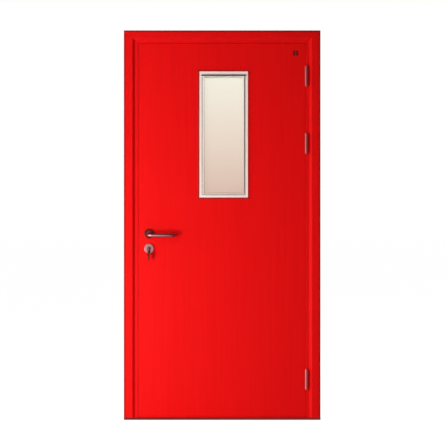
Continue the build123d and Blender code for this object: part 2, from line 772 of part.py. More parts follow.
front_skin = leaf_block(0, leaf_span_y)
front_skin = fillet(front_skin.edges().group_by(Axis.Y)[0], leaf_edge_round)
front_skin -= leaf_block(skin, (leaf_front + skin, leaf_back + overrun))
back_skin = leaf_block(skin, (leaf_back - skin, leaf_back))
channel_y = (leaf_front + skin, leaf_back - skin)
inner_y = (channel_y[0] + channel_sheet, channel_y[1] - channel_sheet)
channel = leaf_block(skin, channel_y)
channel -= leaf_block(skin + channel_sheet, inner_y)
channel -= leaf_block(skin + channel_flange, (channel_y[0] - overrun, channel_y[1] + overrun))
core = leaf_block(skin + channel_sheet, inner_y) + leaf_block(skin + channel_flange, channel_y)

window = vision_block(bead_overlap, (leaf_front - overrun, leaf_back + overrun))
spindle_way = rod_y(spindle_x, through_y, spindle_z, spindle_bore)
lock_cuts = [forend, cylinder_hole, spindle_way] + rose_bolts + forend_screws
front_skin -= window
back_skin -= window
core = core - window - case_outside
for cut in lock_cuts + rivets:
    front_skin -= cut
for cut in lock_cuts + bead_screws:
    back_skin -= cut
for cut in lock_cuts + bead_screws + rivets + leaf_backings + leaf_screws:
    core -= cut
for cut in [forend] + forend_screws + leaf_screws:
    channel -= cut
for notch in leaf_notches:
    front_skin -= notch
nodes["front_skin"] = front_skin
nodes["back_skin"] = back_skin
nodes["leaf_channel"] = channel
nodes["core_board"] = core

os.makedirs("parts", exist_ok=True)
for node_name, shape in nodes.items():
    export_step(shape, f"parts/{node_name}.step")
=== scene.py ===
import json
import math

import bmesh
import bpy
from mathutils import Matrix, Vector

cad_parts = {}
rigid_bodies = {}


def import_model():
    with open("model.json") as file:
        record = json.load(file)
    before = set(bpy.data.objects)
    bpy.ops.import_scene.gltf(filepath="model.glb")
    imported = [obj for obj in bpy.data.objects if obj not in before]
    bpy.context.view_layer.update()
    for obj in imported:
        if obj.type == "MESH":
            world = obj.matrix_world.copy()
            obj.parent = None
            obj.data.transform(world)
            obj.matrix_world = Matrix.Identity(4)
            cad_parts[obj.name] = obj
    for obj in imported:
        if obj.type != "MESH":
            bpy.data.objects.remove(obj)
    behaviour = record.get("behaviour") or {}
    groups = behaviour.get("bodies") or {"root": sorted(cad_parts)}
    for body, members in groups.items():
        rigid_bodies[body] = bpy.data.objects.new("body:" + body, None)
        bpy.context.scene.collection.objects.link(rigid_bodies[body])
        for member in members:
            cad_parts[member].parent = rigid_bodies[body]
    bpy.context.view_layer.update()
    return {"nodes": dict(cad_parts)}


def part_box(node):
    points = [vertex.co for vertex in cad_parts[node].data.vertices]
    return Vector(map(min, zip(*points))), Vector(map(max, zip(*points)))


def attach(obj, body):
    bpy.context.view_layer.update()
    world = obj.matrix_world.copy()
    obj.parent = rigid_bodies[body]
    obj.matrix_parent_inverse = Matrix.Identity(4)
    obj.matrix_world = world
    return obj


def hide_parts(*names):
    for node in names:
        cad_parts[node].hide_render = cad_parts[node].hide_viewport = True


for leftover in list(bpy.data.objects):
    bpy.data.objects.remove(leftover)
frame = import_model()

# Frame: a head and two jambs folded from 1.5 mm steel sheet, mitred and welded at the top corners.
# One sprayed red coat covers it. Painted shade darkens it over the outside folds and on faces turned down.
paint_red = (0.79, 0.0016, 0.002, 1)
paint_red_light = (0.83, 0.0024, 0.0026, 1)
paint_red_shade = (0.42, 0.002, 0.003, 1)
paint_sheen = 0.1
fold_x = 0.53
fold_z = 2.1
fold_dark = 0.006
fold_fade = 0.013
underside_start = -0.15
underside_end = -0.45
underside_shade_most = 0.3


def new_finish(name):
    material = bpy.data.materials.new(name)
    material.use_nodes = True
    tree = material.node_tree
    return material, tree, tree.nodes["Principled BSDF"]


def place_on_piece(tree, stretch):
    coordinates = tree.nodes.new("ShaderNodeTexCoord")
    mapping = tree.nodes.new("ShaderNodeMapping")
    mapping.inputs["Scale"].default_value = stretch
    tree.links.new(coordinates.outputs["Object"], mapping.inputs["Vector"])
    return mapping.outputs["Vector"]


def mottle(tree, scale, detail, stretch=(1, 1, 1)):
    noise = tree.nodes.new("ShaderNodeTexNoise")
    noise.inputs["Scale"].default_value = scale
    noise.inputs["Detail"].default_value = detail
    tree.links.new(place_on_piece(tree, stretch), noise.inputs["Vector"])
    return noise.outputs["Fac"]


def spread(tree, source, low, high, from_low=0.3, from_high=0.7):
    span = tree.nodes.new("ShaderNodeMapRange")
    span.inputs["From Min"].default_value = from_low
    span.inputs["From Max"].default_value = from_high
    span.inputs["To Min"].default_value = low
    span.inputs["To Max"].default_value = high
    tree.links.new(source, span.inputs["Value"])
    return span.outputs["Result"]


def two_tones(tree, source, first, second, start=0.3, end=0.7):
    ramp = tree.nodes.new("ShaderNodeValToRGB")
    ramp.color_ramp.elements[0].position = start
    ramp.color_ramp.elements[0].color = first
    ramp.color_ramp.elements[1].position = end
    ramp.color_ramp.elements[1].color = second
    tree.links.new(source, ramp.inputs["Fac"])
    return ramp.outputs["Color"]


def tint(tree, shader, colour):
    tree.links.new(colour, shader.inputs["Base Color"])


def vary_roughness(tree, shader, source, smooth, rough):
    tree.links.new(spread(tree, source, smooth, rough), shader.inputs["Roughness"])


def roughen(tree, shader, height, strength, distance):
    bump = tree.nodes.new("ShaderNodeBump")
    bump.inputs["Strength"].default_value = strength
    bump.inputs["Distance"].default_value = distance
    tree.links.new(height, bump.inputs["Height"])
    tree.links.new(bump.outputs["Normal"], shader.inputs["Normal"])


def combine(tree, operation, first, second):
    step = tree.nodes.new("ShaderNodeMath")
    step.operation = operation
    tree.links.new(first, step.inputs[0])
    tree.links.new(second, step.inputs[1])
    return step.outputs["Value"]


def overlay(tree, share, under, over):
    mix = tree.nodes.new("ShaderNodeMix")
    mix.data_type = "RGBA"
    tree.links.new(share, mix.inputs["Factor"])
    tree.links.new(under, mix.inputs["A"])
    mix.inputs["B"].default_value = over
    return mix.outputs["Result"]


def axes_of(tree):
    parts = tree.nodes.new("ShaderNodeSeparateXYZ")
    tree.links.new(place_on_piece(tree, (1, 1, 1)), parts.inputs["Vector"])
    return parts.outputs


def away_from(tree, axis, middle):
    shift = tree.nodes.new("ShaderNodeMath")
    shift.operation = "SUBTRACT"
    shift.inputs[1].default_value = middle
    tree.links.new(axis, shift.inputs[0])
    size = tree.nodes.new("ShaderNodeMath")
    size.operation = "ABSOLUTE"
    tree.links.new(shift.outputs["Value"], size.inputs[0])
    return size.outputs["Value"]


def sprayed_red(name):
    material, tree, coat = new_finish(name)
    streaks = mottle(tree, scale=1, detail=4, stretch=(70, 70, 2.2))
    base = two_tones(tree, streaks, paint_red, paint_red_light)
    peel = mottle(tree, scale=420, detail=2)
    roughen(tree, coat, peel, strength=0.05, distance=0.0004)
    clouds = mottle(tree, scale=5, detail=3)
    vary_roughness(tree, coat, clouds, smooth=0.4, rough=0.5)
    coat.inputs["Specular IOR Level"].default_value = paint_sheen
    return material, tree, coat, base


def dress(material, *names):
    for name in names:
        slots = frame["nodes"][name].data.materials
        slots.clear()
        slots.append(material)


frame_paint, tree, coat, base = sprayed_red("frame_paint")
axes = axes_of(tree)
# Painted shade: darker red over the outside folds and on faces turned down.
side_fold = spread(tree, away_from(tree, axes["X"], 0), 0, 1, fold_x - fold_fade, fold_x - fold_dark)
top_fold = spread(tree, axes["Z"], 0, 1, fold_z - fold_fade, fold_z - fold_dark)
fold_shade = combine(tree, "MAXIMUM", side_fold, top_fold)
facing = tree.nodes.new("ShaderNodeSeparateXYZ")
tree.links.new(tree.nodes.new("ShaderNodeNewGeometry").outputs["Normal"], facing.inputs["Vector"])
underside_shade = spread(tree, facing.outputs["Z"], 0, underside_shade_most, underside_start, underside_end)
base = overlay(tree, underside_shade, base, paint_red_shade)
tint(tree, coat, overlay(tree, fold_shade, base, paint_red_shade))
dress(frame_paint, "frame_head", "frame_lock_jamb", "frame_hinge_jamb")

# Sill: a low channel folded from 2 mm steel, open below, welded under the feet of both jambs.
# Its coat is dark red-brown. Painted light makes it paler towards the hinges and red along the top edge.
sill_brown = (0.13, 0.007, 0.006, 1)
sill_rubbed = (0.18, 0.016, 0.014, 1)
sill_painted_light = (0.34, 0.04, 0.036, 1)
sill_top_painted_light = (0.62, 0.012, 0.012, 1)
sill_sheen = 0.1
sill_top = 0.0125
painted_light_most = 0.6
tread_deep = 0.0012
tread_full = 0.0002
sill_coat, tree, coat = new_finish("sill_coat")
scuffs = mottle(tree, scale=1, detail=5, stretch=(9, 30, 30))
base = two_tones(tree, scuffs, sill_brown, sill_rubbed)
axes = axes_of(tree)
# Painted light: paler towards the hinge side, and red along the top edge.
painted_light_share = spread(tree, axes["X"], 0, painted_light_most, -fold_x, fold_x)
base = overlay(tree, painted_light_share, base, sill_painted_light)
top_painted_light = spread(tree, axes["Z"], 0, 1, sill_top - tread_deep, sill_top - tread_full)
tint(tree, coat, overlay(tree, top_painted_light, base, sill_top_painted_light))
vary_roughness(tree, coat, scuffs, smooth=0.42, rough=0.6)
coat.inputs["Specular IOR Level"].default_value = sill_sheen
roughen(tree, coat, mottle(tree, scale=300, detail=2), strength=0.08, distance=0.0004)
dress(sill_coat, "threshold")

# Seals: extruded black rubber with a round bulb, pressed into the stop on three sides.
# The skin of the rubber is matt, with a little chalky bloom.
rubber_black = (0.018, 0.018, 0.018, 1)
rubber_bloom = (0.045, 0.044, 0.042, 1)
rubber, tree, coat = new_finish("seal_rubber")
bloom = mottle(tree, scale=60, detail=4)
tint(tree, coat, two_tones(tree, bloom, rubber_black, rubber_bloom, start=0.4, end=0.8))
vary_roughness(tree, coat, bloom, smooth=0.6, rough=0.8)
roughen(tree, coat, mottle(tree, scale=900, detail=2), strength=0.1, distance=0.0003)
dress(rubber, "seal_head", "seal_lock_jamb", "seal_hinge_jamb")

# Rebate strips: slim bars of fire seal, glued into the rebate on three sides and painted over.
# They lie level with its front edge and stop short of the hinge plates. One more runs under the leaf.
strip_front = -0.0258
strip_back = -0.0145
strip_thick = 0.0017
strip_edge = 0.0003
strip_foot = 0.013
rebate_x = 0.4545
rebate_z = 2.034
strip_top = rebate_z - strip_thick
hinge_names = ("top", "upper", "lower")
hinge_clear = 0.002
foot_inset = 0.003
foot_set_back = 0.0015
foot_clear = 0.0005
foot_bite = 0.0001


def finished(name, shape):
    mesh = bpy.data.meshes.new(name)
    shape.to_mesh(mesh)
    shape.free()
    piece = bpy.data.objects.new(name, mesh)
    bpy.context.scene.collection.objects.link(piece)
    return piece


def round_off(shape, edges, offset):
    bmesh.ops.bevel(
        shape, geom=edges, offset=offset, affect="EDGES", segments=2, profile=0.5, material=-1
    )


def slim_bar(name, low, high, edge):
    bar = bmesh.new()
    bmesh.ops.create_cube(bar, size=1)
    size = Vector(high) - Vector(low)
    bmesh.ops.scale(bar, verts=bar.verts, vec=size)
    bmesh.ops.translate(bar, verts=bar.verts, vec=Vector(low) + size / 2)
    round_off(bar, bar.edges, edge)
    return finished(name, bar)


def put_on(piece, material, body):
    piece.data.materials.append(material)
    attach(piece, body)


strip_runs = [
    ("head_strip", (-rebate_x, strip_top), (rebate_x, rebate_z)),
    ("lock_strip", (-rebate_x, strip_foot), (strip_thick - rebate_x, strip_top)),
]
hinge_stops = [strip_foot]
for hinge in reversed(hinge_names):
    plate_low, plate_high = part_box(f"{hinge}_hinge_frame_plate")
    hinge_stops.extend((plate_low[2] - hinge_clear, plate_high[2] + hinge_clear))
hinge_stops.append(strip_top)
for number, (foot, top) in enumerate(zip(hinge_stops[::2], hinge_stops[1::2]), start=1):
    strip_runs.append((f"hinge_strip_{number}", (rebate_x - strip_thick, foot), (rebate_x, top)))
for name, (left, foot), (right, top) in strip_runs:
    strip = slim_bar(name, (left, strip_front, foot), (right, strip_back, top), strip_edge)
    put_on(strip, frame_paint, "frame")
leaf_low, leaf_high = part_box("front_skin")
foot_low = (leaf_low[0] + foot_inset, strip_front + foot_set_back, sill_top + foot_clear)
foot_high = (leaf_high[0] - foot_inset, strip_back, leaf_low[2] + foot_bite)
put_on(slim_bar("foot_strip", foot_low, foot_high, strip_edge), frame_paint, "leaf")

# Hidden steelwork: channel, liner, lock case, dust box, sleeves, backing plates and screws.
# All of it is zinc plated, with the blue-grey bloom and crystal grain of fresh plating.
zinc_dark = (0.36, 0.37, 0.39, 1)
zinc_light = (0.52, 0.52, 0.5, 1)
zinc, tree, coat = new_finish("zinc_steel")
coat.inputs["Metallic"].default_value = 1
spangle = mottle(tree, scale=180, detail=3)
tint(tree, coat, two_tones(tree, spangle, zinc_dark, zinc_light))
vary_roughness(tree, coat, spangle, smooth=0.32, rough=0.5)
roughen(tree, coat, spangle, strength=0.06, distance=0.0003)
dress(zinc, "leaf_channel", "vision_liner", "lock_case", "strike_box", "rose_bolts", "spindle")
dress(zinc, "follower", "frame_hinge_backings", "leaf_hinge_backings", "anchor_sleeves")

# Core: a mineral board that fills the leaf, glued between both skins.
# Its cut faces are pale and gritty, with darker grains.
board_pale = (0.74, 0.72, 0.67, 1)
board_grain = (0.5, 0.48, 0.44, 1)
board, tree, coat = new_finish("core_board")
grit = mottle(tree, scale=240, detail=5)
tint(tree, coat, two_tones(tree, grit, board_grain, board_pale, start=0.3, end=0.55))
vary_roughness(tree, coat, grit, smooth=0.8, rough=0.95)
roughen(tree, coat, grit, strength=0.4, distance=0.001)
dress(board, "core_board")

# Leaf: a front sheet folded round all four edges and a back sheet let into it, both of 1 mm steel.
# It is sprayed with the same red as the frame, in long vertical passes of the gun.
leaf_paint, tree, coat, base = sprayed_red("leaf_paint")
tint(tree, coat, base)
dress(leaf_paint, "front_skin", "back_skin")

# Glass: one thick pane of fire glass, clamped between pale silicone gaskets in the vision opening.
# Its clear gel layer makes it hazy. Painted light makes it paler at the head and warmer and darker towards
# the foot.
glass_low = 1.22
glass_high = 1.86
pane_foot = (0.735, 0.535, 0.44, 1)
pane_middle = (0.87, 0.74, 0.625, 1)
pane_head = (0.955, 0.92, 0.8, 1)
pane_clear = 0.95
pane_index = 1.45
pane, tree, coat = new_finish("fire_glass")
# Painted light: the pane's colour runs from warm and dark at the foot to pale at the head.
height = spread(tree, axes_of(tree)["Z"], 0, 1, glass_low, glass_high)
ramp = tree.nodes.new("ShaderNodeValToRGB")
ramp.color_ramp.elements.new(0.5)
pane_painted_light = ((0, pane_foot), (0.5, pane_middle), (1, pane_head))
for stop, (position, tone) in zip(ramp.color_ramp.elements, pane_painted_light):
    stop.position = position
    stop.color = tone
tree.links.new(height, ramp.inputs["Fac"])
tint(tree, coat, ramp.outputs["Color"])
haze = mottle(tree, scale=3, detail=1)
tree.links.new(spread(tree, haze, 0.27, 0.29, from_low=0, from_high=1), coat.inputs["Roughness"])
coat.inputs["Transmission Weight"].default_value = pane_clear
coat.inputs["IOR"].default_value = pane_index
dress(pane, "glass_pane")
silicone_pale = (0.95, 0.92, 0.86, 1)
silicone_clear = (1, 0.98, 0.92, 1)
silicone, tree, coat = new_finish("glazing_silicone")
skin = mottle(tree, scale=50, detail=3)
tint(tree, coat, two_tones(tree, skin, silicone_pale, silicone_clear))
vary_roughness(tree, coat, skin, smooth=0.4, rough=0.55)
roughen(tree, coat, skin, strength=0.1, distance=0.0003)
dress(silicone, "front_gasket", "back_gasket")

# Beads: pressed steel strip round the glass on both sides, with a flange, a groove and a raised lip.
# Their coat is pale cream. Painted light makes the lip white at the head, and painted shade makes it darker
# towards the foot.
bead_cream = (1, 0.74, 0.67, 1)
bead_bright = (1, 0.8, 0.73, 1)
bead_sheen = 0.9
lip_painted_light = (1, 0.98, 0.92, 1)
lip_painted_shade = (0.72, 0.57, 0.48, 1)
lip_start = 0.0214
lip_fold = 0.0005
bead_low, bead_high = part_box("front_bead")
bead_middle = ((bead_low[0] + bead_high[0]) / 2, (bead_low[2] + bead_high[2]) / 2)
bead_half = ((bead_high[0] - bead_low[0]) / 2, (bead_high[2] - bead_low[2]) / 2)


def round_bead(tree, operation, low, high, start, end):
    axes = axes_of(tree)
    sides = []
    for axis, middle, half in zip("XZ", bead_middle, bead_half):
        distance = away_from(tree, axes[axis], middle)
        sides.append(spread(tree, distance, low, high, half + start, half + end))
    return combine(tree, operation, *sides)


bead_coat, tree, coat = new_finish("bead_coat")
wipes = mottle(tree, scale=1, detail=4, stretch=(40, 40, 4))
base = two_tones(tree, wipes, bead_cream, bead_bright)
# Painted light and shade on the lip: white at the head, darker towards the foot.
lip = round_bead(tree, "MULTIPLY", 1, 0, -lip_start, lip_fold - lip_start)
downward = spread(tree, axes_of(tree)["Z"], 1, 0, glass_low, glass_high)
lip_shade_share = combine(tree, "MULTIPLY", lip, downward)
base = overlay(tree, lip, base, lip_painted_light)
tint(tree, coat, overlay(tree, lip_shade_share, base, lip_painted_shade))
vary_roughness(tree, coat, wipes, smooth=0.26, rough=0.4)
coat.inputs["Specular IOR Level"].default_value = bead_sheen
roughen(tree, coat, mottle(tree, scale=350, detail=2), strength=0.03, distance=0.0003)
dress(bead_coat, "front_bead", "back_bead")

# Bedding of the beads: a dark red sealant sheet round each bead, painted shade that fades out to red, with
# paint on its crest.
# At the head a filler and black rubber lie in the groove, with a flap over the lip and silicone under it;
# the rubber and flap are painted shade, the silicone a painted highlight.
# Pale glazing tape lies in the groove on the other three sides; its grey is painted shade.
sealant_shade_dark = (0.17, 0.006, 0.006, 1)
sealant_shade_light = (0.24, 0.01, 0.01, 1)
sealant_fade_red = (0.66, 0.004, 0.004, 1)
sealant_sheen = 0.2
bed_reach = 0.008
bed_width = 0.0105
bed_thick = 0.002
crest_end = 0.0008
# Painted shade: a dark red sheet round each bead, fading to red away from it.
shade_sealant, tree, coat = new_finish("bead_shade_sealant")
skin = mottle(tree, scale=60, detail=3)
base = two_tones(tree, skin, sealant_shade_dark, sealant_shade_light)
shade_fade = round_bead(tree, "MAXIMUM", 0, 1, crest_end, bed_reach)
crest = round_bead(tree, "MULTIPLY", 1, 0, 0, crest_end)
painted = combine(tree, "MAXIMUM", shade_fade, crest)
tint(tree, coat, overlay(tree, painted, base, sealant_fade_red))
vary_roughness(tree, coat, skin, smooth=0.45, rough=0.6)
coat.inputs["Specular IOR Level"].default_value = sealant_sheen
roughen(tree, coat, skin, strength=0.1, distance=0.0003)
# Painted shade: the tape's grey stands for shade in the groove.
tape_shade_grey = (0.46, 0.41, 0.34, 1)
tape_shade_pale = (0.54, 0.48, 0.41, 1)
tape_shade_finish, tree, coat = new_finish("glazing_tape_shade")
weave = mottle(tree, scale=90, detail=3)
tint(tree, coat, two_tones(tree, weave, tape_shade_grey, tape_shade_pale))
vary_roughness(tree, coat, weave, smooth=0.6, rough=0.75)
roughen(tree, coat, weave, strength=0.1, distance=0.0003)
leaf_face = 0.025
lip_face = -bead_low[1]
groove_start = 0.0141
groove_end = 0.0219
groove_foot = 0.0212
filler_face = 0.0264
packing_start = 0.0197
flap_end = 0.0272
flap_thick = 0.0008
fillet_start = 0.0281
fillet_end = 0.0299
fillet_deep = 0.0245
bar_edge = 0.0003
bar_left = bead_low[0] + groove_start
bar_right = bead_high[0] - groove_start
head_bars = (
    ("filler", groove_foot, filler_face, groove_start, packing_start, bead_coat, "bead_metal"),
    # Painted shade: black rubber strip and flap in the head groove; the pale silicone fillet below is a
    # painted highlight.
    ("shade_packing", groove_foot, lip_face, packing_start, groove_end, rubber, "seal_rubber"),
    ("shade_flap", lip_face, lip_face + flap_thick, packing_start, flap_end, rubber, "seal_rubber"),
    ("highlight_fillet", fillet_deep, lip_face, fillet_start, fillet_end, silicone, "seal_rubber"),
)
tape_face = 0.0264
tape_edge = 0.0004
tape_joint = 0.0002
tape_foot = bead_low[2] + groove_end + tape_joint
tape_top = bead_high[2] - groove_end - tape_joint
tape_runs = (
    ("foot", (bar_left, bead_low[2] + groove_start), (bar_right, bead_low[2] + groove_end)),
    ("left", (bar_left, tape_foot), (bead_low[0] + groove_end, tape_top)),
    ("right", (bead_high[0] - groove_end, tape_foot), (bar_right, tape_top)),
)


def verts_in(parts):
    return [part for part in parts if isinstance(part, bmesh.types.BMVert)]


for side, way in (("front", -1), ("back", 1)):
    bed = bmesh.new()
    bmesh.ops.create_grid(bed, x_segments=1, y_segments=1, size=0.5)
    outer = [(half + bed_reach) * 2 for half in bead_half]
    bmesh.ops.scale(bed, verts=bed.verts, vec=(*outer, 1))
    inner = bed.faces[:]
    bmesh.ops.inset_region(
        bed, faces=inner, thickness=bed_width, use_boundary=True, use_even_offset=True
    )
    bmesh.ops.delete(bed, geom=inner, context="FACES")
    raised = verts_in(bmesh.ops.extrude_face_region(bed, geom=bed.faces[:])["geom"])
    bmesh.ops.translate(bed, verts=raised, vec=(0, 0, bed_thick))
    rims = [edge for edge in bed.edges if all(end in raised for end in edge.verts)]
    round_off(bed, rims, bed_thick / 4)
    turn = Matrix.Rotation(-way * math.pi / 2, 4, "X")
    bmesh.ops.transform(bed, matrix=turn, verts=bed.verts)
    bmesh.ops.translate(bed, verts=bed.verts, vec=(bead_middle[0], way * leaf_face, bead_middle[1]))
    bmesh.ops.recalc_face_normals(bed, faces=bed.faces)
    put_on(finished(f"{side}_bead_shade_bed", bed), shade_sealant, "leaf")
    for place, deep, near, start, end, finish, slot in head_bars:
        low_y, high_y = sorted((way * deep, way * near))
        low = (bar_left, low_y, bead_high[2] - end)
        high = (bar_right, high_y, bead_high[2] - start)
        put_on(slim_bar(f"{side}_head_{place}", low, high, bar_edge), finish, "leaf")
    low_y, high_y = sorted((way * groove_foot, way * tape_face))
    for place, (left, foot), (right, top) in tape_runs:
        run = slim_bar(f"{side}_{place}_tape", (left, low_y, foot), (right, high_y, top), tape_edge)
        put_on(run, tape_shade_finish, "leaf")

# Screws: countersunk steel screws with a cross recess, zinc plated, in the back bead, lock and hinges.
# Each head is pressed with its cross and lies flush in the plate that it holds.
head_cells = 5
head_square = 0.9
cross_taper = 0.75
cross_deep = 0.7
rim_tolerance = 0.01
bead_screw_radius = 0.0032
bead_head_height = 0.0015
bead_shank_radius = 0.00175
bead_screw_length = 0.012
bead_screw_shares = (-0.42, -0.14, 0.14, 0.42)


def cross_screws(name, node, body, places, outward, head_radius, head_height, shank_radius, length):
    screws = bmesh.new()
    square = head_radius * head_square
    cell = square * 2 / head_cells
    turn = Vector(outward).to_track_quat("Z", "Y").to_matrix().to_4x4()
    for place in places:
        first = len(screws.verts)
        grid = bmesh.ops.create_grid(screws, x_segments=head_cells, y_segments=head_cells, size=square)
        for corner in grid["verts"]:
            if corner.is_boundary:
                corner.co = corner.co.normalized() * head_radius
        cross = []
        for face in {face for corner in grid["verts"] for face in corner.link_faces}:
            spot = face.calc_center_median()
            near, far = sorted((abs(spot.x), abs(spot.y)))
            if near < cell / 2 and far < cell * 1.5:
                cross.append(face)
        sunk = verts_in(bmesh.ops.extrude_face_region(screws, geom=cross)["geom"])
        bmesh.ops.delete(screws, geom=cross, context="FACES_ONLY")
        bmesh.ops.scale(screws, verts=sunk, vec=(cross_taper, cross_taper, 1))
        bmesh.ops.translate(screws, verts=sunk, vec=(0, 0, -head_height * cross_deep))
        rim = []
        for edge in screws.edges:
            off_rim = abs(edge.verts[0].co.xy.length - head_radius)
            if edge.is_boundary and off_rim < head_radius * rim_tolerance:
                rim.append(edge)
        for drop, shrink in ((head_height, shank_radius / head_radius), (length - head_height, 1)):
            grown = bmesh.ops.extrude_edge_only(screws, edges=rim)["geom"]
            lower = verts_in(grown)
            rim = [part for part in grown if isinstance(part, bmesh.types.BMEdge) and part.is_boundary]
            bmesh.ops.scale(screws, verts=lower, vec=(shrink, shrink, 1))
            bmesh.ops.translate(screws, verts=lower, vec=(0, 0, -drop))
        bmesh.ops.holes_fill(screws, edges=rim)
        screws.verts.ensure_lookup_table()
        bmesh.ops.transform(screws, matrix=Matrix.Translation(place) @ turn, verts=screws.verts[first:])
    bmesh.ops.recalc_face_normals(screws, faces=screws.faces)
    set_of_screws = finished(name, screws)
    put_on(set_of_screws, zinc, body)
    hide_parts(node)


screws_low, screws_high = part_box("bead_screws")
bead_places = []
for column in (screws_low[0] + bead_screw_radius, screws_high[0] - bead_screw_radius):
    for share in bead_screw_shares:
        row = bead_middle[1] + share * (bead_high[2] - bead_low[2])
        bead_places.append((column, screws_high[1], row))
bead_head = (bead_screw_radius, bead_head_height, bead_shank_radius, bead_screw_length)
cross_screws("bead_cross_screws", "bead_screws", "leaf", bead_places, (0, 1, 0), *bead_head)

# Lock faces: forend, strike plate, latch bolt and dead bolt, milled and brushed from plain steel.
# The brushing runs up and down, along the edge of the leaf.
lock_dark = (0.45, 0.44, 0.43, 1)
lock_light = (0.62, 0.61, 0.6, 1)
plate_screw_radius = 0.005
plate_shank_radius = 0.0025
plate_screw_length = 0.012
forend_head_height = 0.003
strike_head_height = 0.0015


def brushed_steel(name, dark, light, smooth, rough, stretch):
    material, tree, coat = new_finish(name)
    coat.inputs["Metallic"].default_value = 1
    lines = mottle(tree, scale=1, detail=5, stretch=stretch)
    tint(tree, coat, two_tones(tree, lines, dark, light))
    vary_roughness(tree, coat, lines, smooth, rough)
    roughen(tree, coat, lines, strength=0.04, distance=0.0002)
    return material


def screw_rows(node):
    low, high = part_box(node)
    return (low[2] + plate_screw_radius, high[2] - plate_screw_radius)


lock_steel = brushed_steel("lock_steel", lock_dark, lock_light, 0.3, 0.45, stretch=(900, 900, 30))
dress(lock_steel, "forend", "strike_plate", "latch_bolt", "dead_bolt")
forend_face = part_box("forend")[0][0]
forend_places = [(forend_face, 0, row) for row in screw_rows("forend_screws")]
forend_head = (plate_screw_radius, forend_head_height, plate_shank_radius, plate_screw_length)
cross_screws("forend_cross_screws", "forend_screws", "leaf", forend_places, (-1, 0, 0), *forend_head)
strike_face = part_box("strike_screws")[1][0]
strike_places = [(strike_face, 0, row) for row in screw_rows("strike_screws")]
strike_head = (plate_screw_radius, strike_head_height, plate_shank_radius, plate_screw_length)
cross_screws("strike_cross_screws", "strike_screws", "frame", strike_places, (1, 0, 0), *strike_head)
holder_low, holder_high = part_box("cylinder_screw")
holder_place = [(forend_face, 0, (holder_low[2] + holder_high[2]) / 2)]
holder_length = holder_high[0] - holder_low[0]
holder_head = (plate_screw_radius, forend_head_height, plate_shank_radius, holder_length)
cross_screws("cylinder_cross_screw", "cylinder_screw", "leaf", holder_place, (-1, 0, 0), *holder_head)

# Levers and their roses: round steel bar bent back to the door at its tip, and a pressed round rose.
# A red-brown painted reflection of the door lies over the fine lines of the belt, and a painted highlight
# runs along the bar's crest.
lever_dark = (0.22, 0.05, 0.054, 1)
lever_light = (0.3, 0.075, 0.08, 1)
lever_painted_highlight = (0.6, 0.22, 0.24, 1)
highlight_z = 0.995
highlight_half = 0.0022
highlight_fade = 0.006
highlight_start = -0.37
highlight_end = -0.27
lever_steel = brushed_steel("lever_steel", lever_dark, lever_light, 0.37, 0.45, stretch=(40, 900, 900))
tree = lever_steel.node_tree
coat = tree.nodes["Principled BSDF"]
base = coat.inputs["Base Color"].links[0].from_socket
axes = axes_of(tree)
# Painted highlight: a bright line along the front of the bar, fading towards its tip.
painted_highlight = spread(tree, away_from(tree, axes["Z"], highlight_z), 1, 0, highlight_half, highlight_fade)
painted_highlight = combine(tree, "MULTIPLY", painted_highlight, spread(tree, axes["X"], 1, 0, highlight_start, highlight_end))
tint(tree, coat, overlay(tree, painted_highlight, base, lever_painted_highlight))
dress(lever_steel, "lever_front", "lever_back")
# The roses are dark steel, and their red-brown tint is a painted reflection of the red door.
rose_dark = (0.12, 0.015, 0.013, 1)
rose_light = (0.18, 0.026, 0.023, 1)
rose_steel = brushed_steel("lever_rose_steel", rose_dark, rose_light, 0.25, 0.35, stretch=(400, 900, 400))
dress(rose_steel, "lever_rose_front", "lever_rose_back")

# Lock cylinder and its roses: a plated brass body with a turning plug, held by one screw from the edge.
# The roses are pale; the body and plug are near-black, as painted shade. A split ring through the key's bow
# carries a dark red-brown spare.
# Painted shade: near-black body and plug where the key's bow shades the middle of the rose.
cylinder_shade_dark = (0.022, 0.014, 0.013, 1)
cylinder_shade_light = (0.045, 0.03, 0.029, 1)
plug_shade_finish = brushed_steel("cylinder_nickel", cylinder_shade_dark, cylinder_shade_light, 0.25, 0.4, stretch=(500, 500, 500))
dress(plug_shade_finish, "cylinder_body", "rear_plug", "cylinder_plug")
key_dark = (0.38, 0.25, 0.25, 1)
key_light = (0.5, 0.35, 0.35, 1)
key_metal = brushed_steel("key_metal", key_dark, key_light, 0.3, 0.45, stretch=(400, 400, 400))
dress(key_metal, "key")
spare_dark = (0.14, 0.014, 0.011, 1)
spare_light = (0.2, 0.025, 0.02, 1)
spare_metal = brushed_steel("spare_key_metal", spare_dark, spare_light, 0.35, 0.5, stretch=(400, 400, 400))
dress(spare_metal, "spare_key")
ring_middle = Vector([(low + high) / 2 for low, high in zip(*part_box("key_ring"))])
ring_radius = 0.011
ring_heading = math.radians(50)
ring_turns = 2
ring_steps = 96
wire_wide = 0.0017
wire_thick = 0.00094
weld_gap = 0.00001
split_ring = bmesh.new()
section = bmesh.ops.create_grid(split_ring, x_segments=1, y_segments=1, size=0.5)["verts"]
bmesh.ops.scale(split_ring, verts=section, vec=(wire_wide, wire_thick, 1))
bmesh.ops.bevel(
    split_ring, geom=section, offset=wire_thick / 4, affect="VERTICES",
    segments=2, profile=0.5, material=-1,
)
bmesh.ops.translate(split_ring, verts=split_ring.verts, vec=(ring_radius, -wire_thick, 0))
winding = split_ring.verts[:] + split_ring.edges[:] + split_ring.faces[:]
bmesh.ops.spin(
    split_ring, geom=winding, cent=(0, 0, 0), axis=(0, 1, 0), angle=math.tau * ring_turns,
    steps=ring_steps, dvec=(0, wire_thick * ring_turns / ring_steps, 0),
)
bmesh.ops.remove_doubles(split_ring, verts=split_ring.verts, dist=weld_gap)
bmesh.ops.recalc_face_normals(split_ring, faces=split_ring.faces)
turned = Matrix.Translation(ring_middle) @ Matrix.Rotation(ring_heading, 4, "Z")
